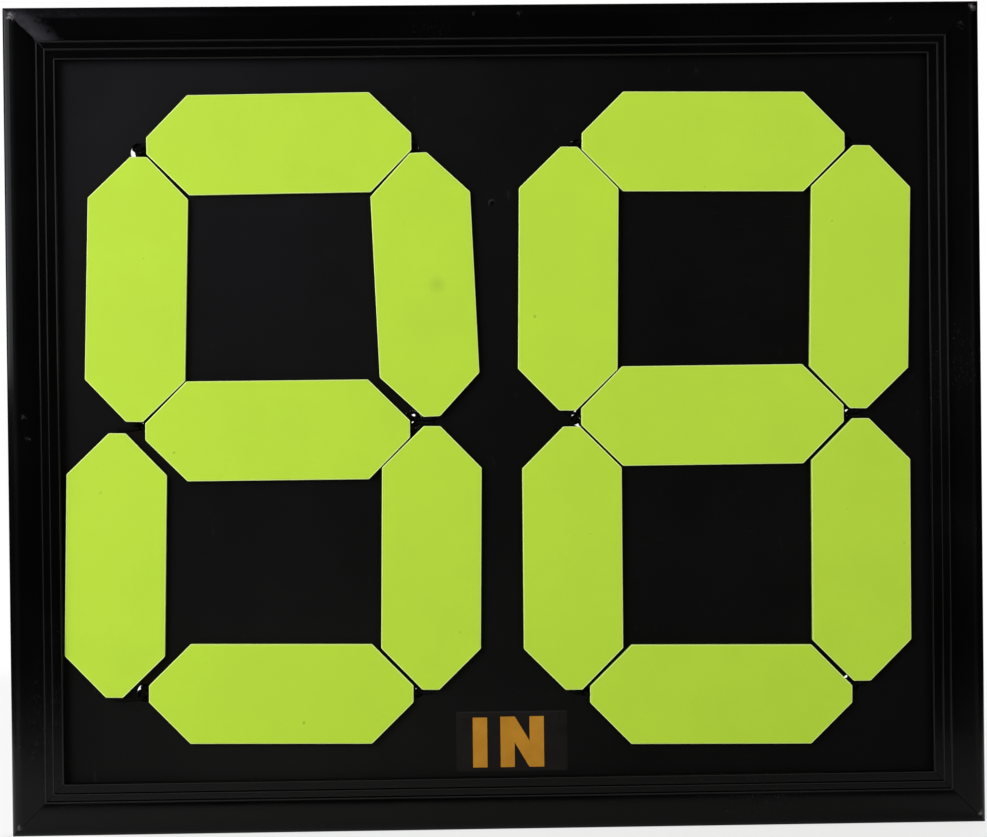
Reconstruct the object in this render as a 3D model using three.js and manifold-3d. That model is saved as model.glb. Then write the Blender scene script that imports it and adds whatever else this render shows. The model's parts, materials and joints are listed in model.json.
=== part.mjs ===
// A two-sided substitution board. Each face shows two digits made of seven flip plates.
// The plates are strung on elastic cord through a drilled panel, in a mitred moulding.
// Millimetres, +Z up. The front faces -Y and the origin is in the middle of the base.

import * as THREE from 'three';
import { mergeVertices } from 'three/addons/utils/BufferGeometryUtils.js';
import Module from 'manifold-3d';

const wasm = await Module();
wasm.setup();

// Room left between pieces, and how far a cut runs past what it cuts
const CLEARANCE = 0.3;
const MITRE_CLEARANCE = 0.15;
const OVERRUN = 1;

// Frame moulding
const BOARD_WIDTH = 650;
const BOARD_HEIGHT = 550;
const RAIL_WIDTH = 35;
const RAIL_DEPTH = 24;
const BEVEL_WIDTH = 7.3;
const BEVEL_DEPTH = 5;
const SCOOP_WIDTH = 14.6;
const SCOOP_DROP = 0.8;
const RIDGE_WIDTH = 1.6;
const RIDGE_RISE = 0.75;
const RIDGE_STEP_WIDTH = 5.1;
const RIDGE_DROP = 0.8;
const LIP_DEPTH = 9;
const REBATE_WIDTH = 8;
const crestShare = 0.3;
const scoopShare = 0.9;

// Angle nails that pin the mitres, let in from the back
const NAIL_LEG = 7;
const NAIL_THICKNESS = 1;
const NAIL_DEPTH = 10;
const NAIL_SETBACK = 12;

// Panel and the beads that hold it in the rebate
const PANEL_THICKNESS = 6;
const HOLE_DIAMETER = 12;
const BEAD_WIDTH = 7;
const BEAD_DEPTH = 6;
const BEAD_EDGE = 1.4;

// Digits: where their holes lie, as shares of the panel's open width and height, and
// the flip plates, which reach from hole to hole less a gap, and whose width is a share
// of the spacing across
const centreShare = 0.25172;
const middleShare = 0.49792;
const columnShare = 0.31034;
const rowShare = 0.375;
const widthShare = 0.36945;
const PLATE_GAP_LENGTH = 4;
const PLATE_THICKNESS = 5;
const TIP_WIDTH = 11;

// Elastic cord
const CORD_DIAMETER = 2;
const BORE_DIAMETER = 2.8;
const CORD_STUB_LENGTH = 0.3;
const CORD_TURN_LENGTH = 1.2;
const CORD_LEAN_LENGTH = 0.9;
const CORD_OVER_HEIGHT = 1.3;
const CORD_UNDER_DEPTH = 0.6;
const turnShare = 0.6;
const leanShare = 0.6;
const bundleShare = 0.8;

// Facets round a curve
const CURVE_STEPS = 6;
const HOLE_SIDES = 24;
const BORE_SIDES = 10;
const CORD_SIDES = 8;

// Places of the seven plates in a digit, in half spacings of the holes; an upright one
// stands between two rows
const PLATES = [
  { name: 'top', column: 0, row: 2, upright: false },
  { name: 'upper_left', column: -1, row: 1, upright: true },
  { name: 'upper_right', column: 1, row: 1, upright: true },
  { name: 'middle', column: 0, row: 0, upright: false },
  { name: 'lower_left', column: -1, row: -1, upright: true },
  { name: 'lower_right', column: 1, row: -1, upright: true },
  { name: 'bottom', column: 0, row: -2, upright: false },
];

// How far each plate has slipped from its place, across and up, as shares of its width
const slipShares = {
  left_top: [0.045, 0.07],
  left_upper_left: [-0.04, -0.02],
  left_upper_right: [0.135, 0],
  left_middle: [0, -0.09],
  left_lower_left: [-0.28, -0.07],
  left_lower_right: [0.17, -0.035],
  left_bottom: [0.005, -0.025],
  right_top: [0.01, 0.055],
  right_upper_left: [-0.11, 0.045],
  right_upper_right: [0.12, 0.035],
  right_middle: [-0.025, 0.015],
  right_lower_left: [-0.095, -0.055],
  right_lower_right: [0.11, -0.005],
  right_bottom: [0.035, -0.09],
};

// How far each plate leans, in degrees, positive when turned left as seen from the front
const LEANS = {
  left_top: 0.5,
  left_upper_left: -1.6,
  left_upper_right: 2.3,
  left_middle: 0,
  left_lower_left: -1.3,
  left_lower_right: -0.9,
  left_bottom: -0.8,
  right_top: -0.5,
  right_upper_left: -0.9,
  right_upper_right: -1.2,
  right_middle: 0.1,
  right_lower_left: -0.1,
  right_lower_right: -0.2,
  right_bottom: -0.7,
};

// Where a plate's cord goes through the holes at its left or lower end, then at the
// other end, across and up from the hole's centre as shares of the hole's radius
const cordShares = {
  left_top: [[0.3, 0.5], [0.5, 0.55]],
  left_upper_left: [[-0.7, -0.2], [-0.2, 0.05]],
  left_upper_right: [[0.6, 0.1], [0.7, 0.05]],
  left_middle: [[0.05, -0.5], [0.1, -0.55]],
  left_lower_left: [[-0.35, -0.6], [-0.4, -0.6]],
  left_lower_right: [[0.55, -0.45], [0.55, -0.3]],
  left_bottom: [[-0.15, 0.2], [0.1, -0.35]],
  right_top: [[0.1, 0.6], [0.15, 0.55]],
  right_upper_left: [[-0.4, 0.5], [-0.5, 0.5]],
  right_upper_right: [[0.55, 0.3], [0.55, 0.3]],
  right_middle: [[-0.35, 0], [-0.2, 0.15]],
  right_lower_left: [[-0.4, -0.65], [-0.45, -0.5]],
  right_lower_right: [[0.6, -0.1], [0.25, -0.15]],
  right_bottom: [[0.2, -0.55], [0.4, -0.6]],
};

// Depths, from the front of the frame at negative Y to its back
const FRONT = -RAIL_DEPTH / 2;
const BACK = RAIL_DEPTH / 2;
const PANEL_FRONT = FRONT + LIP_DEPTH + CLEARANCE;
const PANEL_MIDDLE = PANEL_FRONT + PANEL_THICKNESS / 2;
const PLATE_RISE = PANEL_THICKNESS / 2 + CLEARANCE + PLATE_THICKNESS / 2;
const REBATE_EDGE = RAIL_WIDTH - REBATE_WIDTH;
const OPEN_WIDTH = BOARD_WIDTH - 2 * RAIL_WIDTH;
const OPEN_HEIGHT = BOARD_HEIGHT - 2 * RAIL_WIDTH;
const DIGIT_OFFSET = OPEN_WIDTH * centreShare;
const DIGIT_MIDDLE = RAIL_WIDTH + OPEN_HEIGHT * middleShare;
const COLUMN_SPACING = OPEN_WIDTH * columnShare;
const ROW_SPACING = OPEN_HEIGHT * rowShare;
const PLATE_WIDTH = COLUMN_SPACING * widthShare;
const HOLE_RADIUS = HOLE_DIAMETER / 2;
const CORD_RADIUS = CORD_DIAMETER / 2;

const MATERIALS = {
  frame: { color: 0x0a0a0c, roughness: 0.22, metalness: 0 },
  panel: { color: 0x151517, roughness: 0.75, metalness: 0 },
  bead: { color: 0x0e0e10, roughness: 0.45, metalness: 0 },
  steel: { color: 0x9a9b9d, roughness: 0.35, metalness: 1 },
  green: { color: 0xb5d93e, roughness: 0.45, metalness: 0 },
  red: { color: 0xd2232b, roughness: 0.45, metalness: 0 },
  cord: { color: 0x101012, roughness: 0.85, metalness: 0 },
};

function piece(name, geometry, look) {
  const mesh = new THREE.Mesh(geometry, new THREE.MeshStandardMaterial(MATERIALS[look]));
  mesh.name = name;
  return mesh;
}

// Booleans

function bare(geometry) {
  const copy = geometry.clone();
  copy.deleteAttribute('normal');
  copy.deleteAttribute('uv');
  return mergeVertices(copy);
}

function solid(geometry) {
  const merged = bare(geometry);
  return new wasm.Manifold(new wasm.Mesh({
    numProp: 3,
    vertProperties: new Float32Array(merged.getAttribute('position').array),
    triVerts: new Uint32Array(merged.getIndex().array),
  }));
}

function cut(geometry, tools) {
  let body = solid(geometry);
  for (const tool of tools) body = body.subtract(solid(tool));
  return geometryOf(body);
}

function join(geometries) {
  const [first, ...rest] = geometries.map(solid);
  return geometryOf(rest.reduce((body, next) => body.add(next), first));
}

function geometryOf(body) {
  const mesh = body.getMesh();
  const result = new THREE.BufferGeometry();
  result.setAttribute('position', new THREE.BufferAttribute(new Float32Array(mesh.vertProperties), 3));
  result.setIndex(new THREE.BufferAttribute(new Uint32Array(mesh.triVerts), 1));
  result.computeVertexNormals();
  return result;
}

// Frame and beads

function railProfile() {
  const profile = new THREE.Shape();
  profile.moveTo(0, RAIL_DEPTH);
  profile.lineTo(0, BEVEL_DEPTH);
  profile.quadraticCurveTo(BEVEL_WIDTH * crestShare, 0, BEVEL_WIDTH, 0);
  const scoopEnd = BEVEL_WIDTH + SCOOP_WIDTH;
  profile.quadraticCurveTo(BEVEL_WIDTH + SCOOP_WIDTH * scoopShare, 0, scoopEnd, SCOOP_DROP);
  const ridges = [scoopEnd, scoopEnd + RIDGE_STEP_WIDTH, RAIL_WIDTH - RIDGE_WIDTH];
  ridges.forEach((start, i) => {
    const before = SCOOP_DROP + i * RIDGE_DROP;
    const after = before + RIDGE_DROP;
    profile.lineTo(start, before);
    profile.quadraticCurveTo(start + RIDGE_WIDTH / 2, before - 2 * RIDGE_RISE, start + RIDGE_WIDTH, after);
  });
  profile.lineTo(RAIL_WIDTH, LIP_DEPTH);
  profile.lineTo(REBATE_EDGE, LIP_DEPTH);
  profile.lineTo(REBATE_EDGE, RAIL_DEPTH);
  return profile;
}

function beadProfile() {
  const outer = REBATE_EDGE + CLEARANCE;
  const inner = outer + BEAD_WIDTH;
  const front = LIP_DEPTH + PANEL_THICKNESS + 2 * CLEARANCE;
  const profile = new THREE.Shape();
  profile.moveTo(outer, front);
  profile.lineTo(inner, front);
  profile.lineTo(inner, front + BEAD_EDGE);
  profile.quadraticCurveTo(inner, front + BEAD_DEPTH, outer + BEAD_EDGE, front + BEAD_DEPTH);
  profile.lineTo(outer, front + BEAD_DEPTH);
  return profile;
}

// A profile drawn inwards from the frame's outer edge, run along one side and mitred
function mitredRun(profile, { length, reach }) {
  const geometry = new THREE.ExtrudeGeometry(profile, {
    depth: 1,
    steps: 1,
    bevelEnabled: false,
    curveSegments: CURVE_STEPS,
  });
  const places = geometry.getAttribute('position');
  for (let i = 0; i < places.count; i++) {
    const inward = places.getX(i);
    const end = 1 - 2 * places.getZ(i);
    const along = end * (length / 2 - inward - MITRE_CLEARANCE);
    places.setXYZ(i, along, FRONT + places.getY(i), inward - reach);
  }
  geometry.computeVertexNormals();
  return geometry;
}

// An angle nail across a mitre, or its slot when grown by a clearance
function angleNail(grow, end) {
  const tip = NAIL_LEG + grow;
  const inside = NAIL_THICKNESS + grow;
  const outline = new THREE.Shape();
  outline.moveTo(-grow, -grow);
  outline.lineTo(tip, -grow);
  outline.lineTo(tip, inside);
  outline.lineTo(inside, inside);
  outline.lineTo(inside, tip);
  outline.lineTo(-grow, tip);
  const depth = NAIL_DEPTH + grow + end;
  const nail = new THREE.ExtrudeGeometry(outline, { depth, steps: 1, bevelEnabled: false });
  nail.rotateX(Math.PI / 2);
  nail.translate(0, BACK + end, 0);
  return nail;
}

// The nail, or its slot, at the left end of a side
function leftNail(side, grow, end) {
  const along = side.length / 2 - NAIL_SETBACK;
  return angleNail(grow, end).translate(-along, 0, NAIL_SETBACK - side.reach);
}

// The slot at the right end of a side, turned to face the other way
function rightSlot(side) {
  const along = side.length / 2 - NAIL_SETBACK;
  const slot = angleNail(CLEARANCE, OVERRUN).rotateY(-Math.PI / 2);
  return slot.translate(along, 0, NAIL_SETBACK - side.reach);
}

const SIDES = [
  { name: 'bottom', corner: 'bottom_left', turn: 0 },
  { name: 'left', corner: 'top_left', turn: Math.PI / 2 },
  { name: 'top', corner: 'top_right', turn: Math.PI },
  { name: 'right', corner: 'bottom_right', turn: -Math.PI / 2 },
];

function frame() {
  const assembly = new THREE.Group();
  assembly.position.z = BOARD_HEIGHT / 2;
  for (const { name, corner, turn } of SIDES) {
    const level = name === 'bottom' || name === 'top';
    const length = level ? BOARD_WIDTH : BOARD_HEIGHT;
    const reach = (level ? BOARD_HEIGHT : BOARD_WIDTH) / 2;
    const side = { length, reach };
    const slots = [leftNail(side, CLEARANCE, OVERRUN), rightSlot(side)];
    const rail = cut(mitredRun(railProfile(), side), slots);
    const place = new THREE.Group();
    place.rotation.y = turn;
    place.add(piece(`frame_rail_${name}`, rail, 'frame'));
    place.add(piece(`rear_bead_${name}`, mitredRun(beadProfile(), side), 'bead'));
    place.add(piece(`corner_nail_${corner}`, leftNail(side, 0, -CLEARANCE), 'steel'));
    assembly.add(place);
  }
  return assembly;
}

// Panel

function holeCentres(centre) {
  const centres = [];
  for (const row of [-2, 0, 2]) {
    for (const column of [-1, 1]) {
      centres.push(holeCentre(centre, column, row));
    }
  }
  return centres;
}

function holeCentre(centre, column, row) {
  const x = centre + (column * COLUMN_SPACING) / 2;
  const z = DIGIT_MIDDLE + (row * ROW_SPACING) / 2;
  return new THREE.Vector2(x, z);
}

function panel() {
  const margin = REBATE_EDGE + CLEARANCE;
  const half = BOARD_WIDTH / 2 - margin;
  const outline = new THREE.Shape();
  outline.moveTo(-half, margin);
  outline.lineTo(half, margin);
  outline.lineTo(half, BOARD_HEIGHT - margin);
  outline.lineTo(-half, BOARD_HEIGHT - margin);
  for (const side of DIGITS) {
    for (const centre of holeCentres(side.centre)) {
      const hole = new THREE.Path();
      hole.absarc(centre.x, centre.y, HOLE_RADIUS, 0, 2 * Math.PI);
      outline.holes.push(hole);
    }
  }
  const sheet = new THREE.ExtrudeGeometry(outline, {
    depth: PANEL_THICKNESS,
    steps: 1,
    bevelEnabled: false,
    curveSegments: HOLE_SIDES / 2,
  });
  sheet.rotateX(Math.PI / 2);
  sheet.translate(0, PANEL_FRONT + PANEL_THICKNESS, 0);
  return piece('board_panel', sheet, 'panel');
}

// Plates and cord

function plateLength({ upright }) {
  return (upright ? ROW_SPACING : COLUMN_SPACING) - PLATE_GAP_LENGTH;
}

function plateGeometry(length) {
  const chamfer = (PLATE_WIDTH - TIP_WIDTH) / 2;
  const corner = new THREE.Vector2(length / 2 - chamfer, PLATE_WIDTH / 2);
  const tip = new THREE.Vector2(length / 2, TIP_WIDTH / 2);
  const down = new THREE.Vector2(1, -1);
  const right = [corner, tip, tip.clone().multiply(down), corner.clone().multiply(down)];
  const left = right.map((point) => point.clone().negate());
  const outline = new THREE.Shape([...right, ...left]);
  const sheet = new THREE.ExtrudeGeometry(outline, {
    depth: PLATE_THICKNESS,
    steps: 1,
    bevelEnabled: false,
  });
  sheet.translate(0, 0, -PLATE_THICKNESS / 2);
  sheet.rotateX(Math.PI / 2);
  const boreRadius = BORE_DIAMETER / 2;
  const through = length + 2 * OVERRUN;
  const bore = new THREE.CylinderGeometry(boreRadius, boreRadius, through, BORE_SIDES);
  bore.rotateZ(Math.PI / 2);
  return cut(sheet, [bore]);
}

function cordSection() {
  const section = new THREE.Shape();
  section.absarc(0, 0, CORD_RADIUS, 0, 2 * Math.PI);
  return section;
}

// The straight stretch of cord in a plate's bore, along X
function cordRun(length) {
  const depth = length + 2 * CORD_STUB_LENGTH;
  const run = new THREE.ExtrudeGeometry(cordSection(), {
    depth,
    steps: 1,
    bevelEnabled: false,
    curveSegments: CORD_SIDES / 2,
  });
  run.translate(0, 0, -depth / 2);
  run.rotateY(Math.PI / 2);
  return run;
}

// A cord's route through given points, with one step from each to the next
class CordRoute extends THREE.Curve {
  constructor(points) {
    super();
    this.points = points;
  }

  getPoint(t) {
    const place = t * (this.points.length - 1);
    const i = Math.min(Math.floor(place), this.points.length - 2);
    return this.points[i].clone().lerp(this.points[i + 1], place - i);
  }

  getPointAt(t) {
    return this.getPoint(t);
  }

  getTangentAt(t) {
    const last = this.points.length - 1;
    const i = Math.round(t * last);
    const before = this.points[Math.max(i - 1, 0)];
    const here = this.points[i];
    const after = this.points[Math.min(i + 1, last)];
    const arriving = here.clone().sub(before).normalize();
    const leaving = after.clone().sub(here).normalize();
    return arriving.add(leaving).normalize();
  }
}

// Where one plate sits: its centre, how it leans, and where its cord goes at either end
function placeOf(plate, side) {
  const name = `${side.name}_${plate.name}`;
  const lean = THREE.MathUtils.degToRad(LEANS[name]) + (plate.upright ? Math.PI / 2 : 0);
  const length = plateLength(plate);
  const [across, up] = slipShares[name];
  const centre = holeCentre(side.centre, plate.column, plate.row);
  centre.add(new THREE.Vector2(across, up).multiplyScalar(PLATE_WIDTH));
  const axis = new THREE.Vector2(Math.cos(lean), Math.sin(lean));
  const ends = [-1, 1].map((end, i) => {
    const column = plate.upright ? plate.column : end;
    const row = plate.upright ? plate.row + end : plate.row;
    const through = holeCentre(side.centre, column, row);
    through.add(new THREE.Vector2(...cordShares[name][i]).multiplyScalar(HOLE_RADIUS));
    const outward = axis.clone().multiplyScalar(end);
    const tip = centre.clone().addScaledVector(outward, length / 2);
    return { hole: `${column} ${row}`, tip, outward, through };
  });
  return { name, lean, length, centre, ends };
}

// The cords that share a hole lie against each other halfway through it
function bundle(ends) {
  for (const end of ends) {
    const others = ends.filter((other) => other.hole === end.hole);
    const middle = new THREE.Vector2();
    for (const other of others) middle.addScaledVector(other.through, 1 / others.length);
    const aside = end.through.clone().sub(middle).setLength(bundleShare * CORD_RADIUS);
    end.bundled = middle.add(aside);
  }
}

// From a plate's tip over the panel and into a hole, each point with its rise off the
// middle of the panel; the far side of the panel is the same
function descent({ tip, outward, through }) {
  const start = tip.clone().addScaledVector(outward, CORD_STUB_LENGTH + CLEARANCE);
  const turn = Math.min(CORD_TURN_LENGTH, CORD_STUB_LENGTH + turnShare * start.distanceTo(through));
  const bend = start.clone().addScaledVector(outward, turn);
  const lean = Math.min(CORD_LEAN_LENGTH, leanShare * bend.distanceTo(through));
  const over = through.clone().add(bend.clone().sub(through).setLength(lean));
  return [
    { at: start, rise: PLATE_RISE },
    { at: bend, rise: PLATE_RISE - CLEARANCE },
    { at: over, rise: PANEL_THICKNESS / 2 + CORD_OVER_HEIGHT },
    { at: through, rise: PANEL_THICKNESS / 2 - CORD_UNDER_DEPTH },
  ];
}

// The cord of one place: in at the front, along the rear plate's bore, and out again
function lacedCord([left, right]) {
  const point = (at, rise) => new THREE.Vector3(at.x, PANEL_MIDDLE + rise, at.y);
  const front = (end) => descent(end).map(({ at, rise }) => point(at, -rise));
  const rear = (end) => descent(end).map(({ at, rise }) => point(at, rise));
  const route = new CordRoute([
    ...front(left),
    point(left.bundled, 0),
    ...rear(left).reverse(),
    ...rear(right),
    point(right.bundled, 0),
    ...front(right).reverse(),
  ]);
  return new THREE.ExtrudeGeometry(cordSection(), {
    extrudePath: route,
    steps: route.points.length - 1,
    curveSegments: CORD_SIDES / 2,
  });
}

// A plate and what rides in it, along its own X, at a place on the front or the rear
function seat({ lean, centre }, rise) {
  const group = new THREE.Group();
  group.position.set(centre.x, PANEL_MIDDLE + rise, centre.y);
  group.rotation.y = -lean;
  return group;
}

function digit(side) {
  const assembly = new THREE.Group();
  const places = PLATES.map((plate) => placeOf(plate, side));
  bundle(places.flatMap((place) => place.ends));
  for (const place of places) {
    const front = seat(place, -PLATE_RISE);
    const { name, length } = place;
    front.add(piece(`${name}_plate`, plateGeometry(length), 'green'));
    front.add(piece(`${name}_cord`, cordRun(length), 'cord'));
    const rear = seat(place, PLATE_RISE);
    rear.add(piece(`rear_${name}_plate`, plateGeometry(length), 'red'));
    assembly.add(front, rear);
  }
  const cords = places.map((place) => lacedCord(place.ends));
  assembly.add(piece(`${side.name}_laced_cord`, join(cords), 'cord'));
  return assembly;
}

const DIGITS = [
  { name: 'left', centre: -DIGIT_OFFSET },
  { name: 'right', centre: DIGIT_OFFSET },
];

const board = new THREE.Group();
board.add(frame());
board.add(panel());
for (const side of DIGITS) board.add(digit(side));

export default board;
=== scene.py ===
# A two-sided substitution board: flip plates on elastic cord, a drilled panel and a
# mitred moulding. Metres, +Z up, the front faces -Y.

import json
import math

import bmesh
import bpy
from mathutils import Matrix, Vector


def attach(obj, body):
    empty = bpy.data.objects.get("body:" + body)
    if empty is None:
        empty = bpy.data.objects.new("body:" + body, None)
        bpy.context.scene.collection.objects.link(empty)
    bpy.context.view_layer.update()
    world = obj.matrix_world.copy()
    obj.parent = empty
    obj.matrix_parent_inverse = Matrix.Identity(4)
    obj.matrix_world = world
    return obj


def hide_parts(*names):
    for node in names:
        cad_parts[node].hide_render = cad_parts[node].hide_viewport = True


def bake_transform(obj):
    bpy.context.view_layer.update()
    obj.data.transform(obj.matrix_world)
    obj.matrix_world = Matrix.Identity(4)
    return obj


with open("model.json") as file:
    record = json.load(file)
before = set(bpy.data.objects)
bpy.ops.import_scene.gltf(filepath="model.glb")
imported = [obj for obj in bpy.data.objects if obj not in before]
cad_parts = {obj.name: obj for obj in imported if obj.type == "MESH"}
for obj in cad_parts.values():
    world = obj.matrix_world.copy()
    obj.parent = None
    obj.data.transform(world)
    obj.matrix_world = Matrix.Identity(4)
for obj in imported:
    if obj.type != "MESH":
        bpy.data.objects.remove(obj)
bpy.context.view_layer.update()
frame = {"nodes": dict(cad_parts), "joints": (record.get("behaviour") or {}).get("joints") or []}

MM = 0.001

# Camera, where the photograph was taken from
CAMERA_PLACE = (-0.0769, -2.2006, 0.3010)
CAMERA_TURN = (89.302, 0.635, -1.956)
CAMERA_LENS = 120
SENSOR_WIDTH = 36
CLIP_START = 0.05
CLIP_END = 100

# The moulding, drawn from the frame's outer edge inwards and from its front back. The
# shares place the control points of the bevel's and the scoop's curves
BOARD_WIDTH = 650 * MM
BOARD_HEIGHT = 550 * MM
RAIL_WIDTH = 35 * MM
RAIL_DEPTH = 24 * MM
BEVEL_WIDTH = 7.3 * MM
BEVEL_DEPTH = 5 * MM
BEVEL_SHARE = 0.3
SCOOP_WIDTH = 14.6 * MM
SCOOP_DROP = 0.5 * MM
SCOOP_SHARE = 0.9
RIDGE_WIDTH = 1.6 * MM
RIDGE_RISE = 0.4 * MM
RIDGE_STEP = 5.1 * MM
RIDGE_DROP = 0.45 * MM
LIP_DEPTH = 9 * MM
REBATE_EDGE = 27 * MM
MITRE_GAP = 0.01 * MM

# The painted highlight strip on a ridge: its place as a share of the ridge's width, and its reach
CREST_HIGHLIGHT_PLACE = 0.42
CREST_HIGHLIGHT_REACH = 0.28 * MM

# Steps of the moulding's three kinds of curve
BEVEL_STEPS = 10
SCOOP_STEPS = 14
RIDGE_STEPS = 8

# Pins through the beads, at an even step from the middle of each side
PIN_INSET = 3.6 * MM
PIN_STEP_ACROSS = 128 * MM
PIN_STEP_UP = 106 * MM
PIN_HEAD_RADIUS = 1.1 * MM
PIN_HEAD_FLATNESS = 0.45
BEAD_CREST = 6.1 * MM

# Panel, plates and cord
PANEL_FRONT = -2.7 * MM
PANEL_BACK = 3.3 * MM
PANEL_MIDDLE = 0.3 * MM
HOLE_RADIUS = 6 * MM
HOLE_STEP = 180 * MM
DIGIT_OFFSET = 146 * MM
DIGIT_MIDDLE = 274 * MM
PLATE_LENGTH = 176 * MM
PLATE_THICKNESS = 5 * MM
PLATE_RISE = 5.8 * MM
CORD_RADIUS = 1 * MM
CORD_SIDES = 12

# How far the edges of each kind of piece are eased, and how close loose corners weld
RAIL_EASE = 0.25 * MM
PANEL_EASE = 0.4 * MM
BEAD_EASE = 0.3 * MM
NAIL_EASE = 0.15 * MM
PLATE_EASE = 0.6 * MM
WELD_REACH = 0.01 * MM

# The cord's way from a plate's bore to its hole. Each bend is a share of the way there,
# up to a longest length
BORE_EXIT = 0.6 * MM
BORE_REACH = 9 * MM
CLEARANCE = 0.3 * MM
TURN_LENGTH = 1.2 * MM
LEAN_LENGTH = 0.9 * MM
BEND_SHARE = 0.6
OVER_HEIGHT = 1.3 * MM
UNDER_DEPTH = 0.6 * MM

# Distances between a cord's rings, in the bores, in the holes and on the way there
BORE_STEP = 0.2 * MM
SPARE_STEP = 0.45 * MM
LACED_STEP = 0.5 * MM

# The spare elastic in a hole: a flat knot in front, turned by some radians more in each
# next hole, and a coil behind it. The pitch and the shares are in the cord's radii
KNOT_STEPS = 72
KNOT_OVERLAP = 3
KNOT_WAVE = 0.7 * MM
KNOT_LEVEL = -1.0 * MM
KNOT_TURN = 1.3
COIL_LEVEL = 1.6 * MM
COIL_TURNS = 3.62
COIL_STEPS = 120
COIL_PITCH = 1.9
WALL_SHARE = 1.04
BUNDLE_SHARE = 0.8

# Where the cord of each plate goes through the holes at its left or lower end, then at
# the other end, across and up as shares of the hole's radius
CORD_SHARES = {
    "left_top": ((0.3, 0.5), (0.5, 0.55)),
    "left_upper_left": ((-0.7, -0.2), (-0.2, 0.05)),
    "left_upper_right": ((0.6, 0.1), (0.7, 0.05)),
    "left_middle": ((0.05, -0.5), (0.1, -0.55)),
    "left_lower_left": ((-0.35, -0.6), (-0.4, -0.6)),
    "left_lower_right": ((0.55, -0.45), (0.55, -0.3)),
    "left_bottom": ((-0.15, 0.2), (0.1, -0.35)),
    "right_top": ((0.1, 0.6), (0.15, 0.55)),
    "right_upper_left": ((-0.4, 0.5), (-0.5, 0.5)),
    "right_upper_right": ((0.55, 0.3), (0.55, 0.3)),
    "right_middle": ((-0.35, 0), (-0.2, 0.15)),
    "right_lower_left": ((-0.4, -0.65), (-0.45, -0.5)),
    "right_lower_right": ((0.6, -0.1), (0.25, -0.15)),
    "right_bottom": ((0.2, -0.55), (0.4, -0.6)),
}

# Where each plate's middle lies, across and up from its digit's middle, in half steps
# of the holes
PLATE_CELLS = {
    "top": (0, 2),
    "upper_left": (-1, 1),
    "upper_right": (1, 1),
    "middle": (0, 0),
    "lower_left": (-1, -1),
    "lower_right": (1, -1),
    "bottom": (0, -2),
}

# Rear plates flipped to their black side, so that the rear shows a 2 and an 8
TURNED = ("left_upper_right", "left_lower_left")

# Where light comes past the elastic in the holes: across, up and reach as shares of the
# hole's radius. Those that go past OPEN_TO_WALL lie along the hole's wall
OPENINGS = {
    ("left", -1, 2): ((-0.70, -0.35, 0.26), (-0.68, -0.05, 0.17)),
    ("left", 1, 0): ((0.13, 0.49, 0.15), (0.02, -0.36, 0.17)),
    ("left", -1, -2): ((-0.72, 0.41, 0.14),),
    ("right", -1, 0): ((-0.78, 0.48, 0.16), (-0.60, 0.48, 0.16), (-0.25, -0.68, 0.06)),
    ("right", 1, 0): ((-0.18, 0.46, 0.13),),
    ("right", 1, -2): ((-0.46, 0.66, 0.18),),
}
OPEN_TO_WALL = 0.75


# Material helpers

# Most of a noise's values lie between these
NOISE_LOW = 0.3
NOISE_HIGH = 0.7

# The inputs of a colour mix are its share and two colours, among those of other kinds
MIX_INPUTS = (0, 6, 7)
MIX_OUTPUT = 2


def new_material(name):
    """An empty material with its surface shader, ready for patterns."""
    material = bpy.data.materials.new(name)
    material.use_nodes = True
    surface = material.node_tree.nodes["Principled BSDF"]
    return material, material.node_tree, surface


def connect(tree, node, inputs):
    """Sets a node's inputs. One that is given a socket is linked to it."""
    for key, value in dict(inputs).items():
        if isinstance(value, bpy.types.NodeSocket):
            tree.links.new(value, node.inputs[key])
        else:
            node.inputs[key].default_value = value


def add_node(tree, kind, inputs=(), **settings):
    """A new node with its settings and inputs."""
    node = tree.nodes.new(kind)
    for key, value in settings.items():
        setattr(node, key, value)
    connect(tree, node, inputs)
    return node


def object_place(tree):
    return add_node(tree, "ShaderNodeTexCoord").outputs["Object"]


def axis_of(tree, place, axis):
    return add_node(tree, "ShaderNodeSeparateXYZ", {0: place}).outputs[axis]


def stretched(tree, place, scale, turn=(0, 0, 0)):
    """The place with each axis multiplied, after a turn, for streaks."""
    inputs = {"Vector": place, "Scale": scale, "Rotation": turn}
    return add_node(tree, "ShaderNodeMapping", inputs).outputs["Vector"]


def noise(tree, place, scale, detail, roughness=0.55):
    inputs = {"Vector": place, "Scale": scale, "Detail": detail, "Roughness": roughness}
    return add_node(tree, "ShaderNodeTexNoise", inputs).outputs["Fac"]


def graded(tree, value, low, high, to_low=0, to_high=1):
    """The value mapped from one range to another, and held at its ends."""
    inputs = {
        "Value": value,
        "From Min": low,
        "From Max": high,
        "To Min": to_low,
        "To Max": to_high,
    }
    return add_node(tree, "ShaderNodeMapRange", inputs).outputs["Result"]


def spread(tree, value, to_low=0, to_high=1):
    """A noise mapped from its usual range to another."""
    return graded(tree, value, NOISE_LOW, NOISE_HIGH, to_low, to_high)


def maths(tree, operation, first, second=0):
    inputs = {0: first, 1: second}
    return add_node(tree, "ShaderNodeMath", inputs, operation=operation).outputs[0]


def product(tree, first, second):
    return maths(tree, "MULTIPLY", first, second)


def total(tree, first, second):
    return maths(tree, "ADD", first, second)


def difference(tree, first, second):
    return maths(tree, "SUBTRACT", first, second)


def strongest(tree, values):
    result = values[0]
    for value in values[1:]:
        result = maths(tree, "MAXIMUM", result, value)
    return result


def mixed(tree, share, first, second):
    """Two colours mixed by a share. Each is a socket or three plain numbers."""
    opaque = [(*value, 1) if isinstance(value, tuple) else value for value in (first, second)]
    inputs = dict(zip(MIX_INPUTS, (share, *opaque)))
    return add_node(tree, "ShaderNodeMix", inputs, data_type="RGBA").outputs[MIX_OUTPUT]


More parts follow.
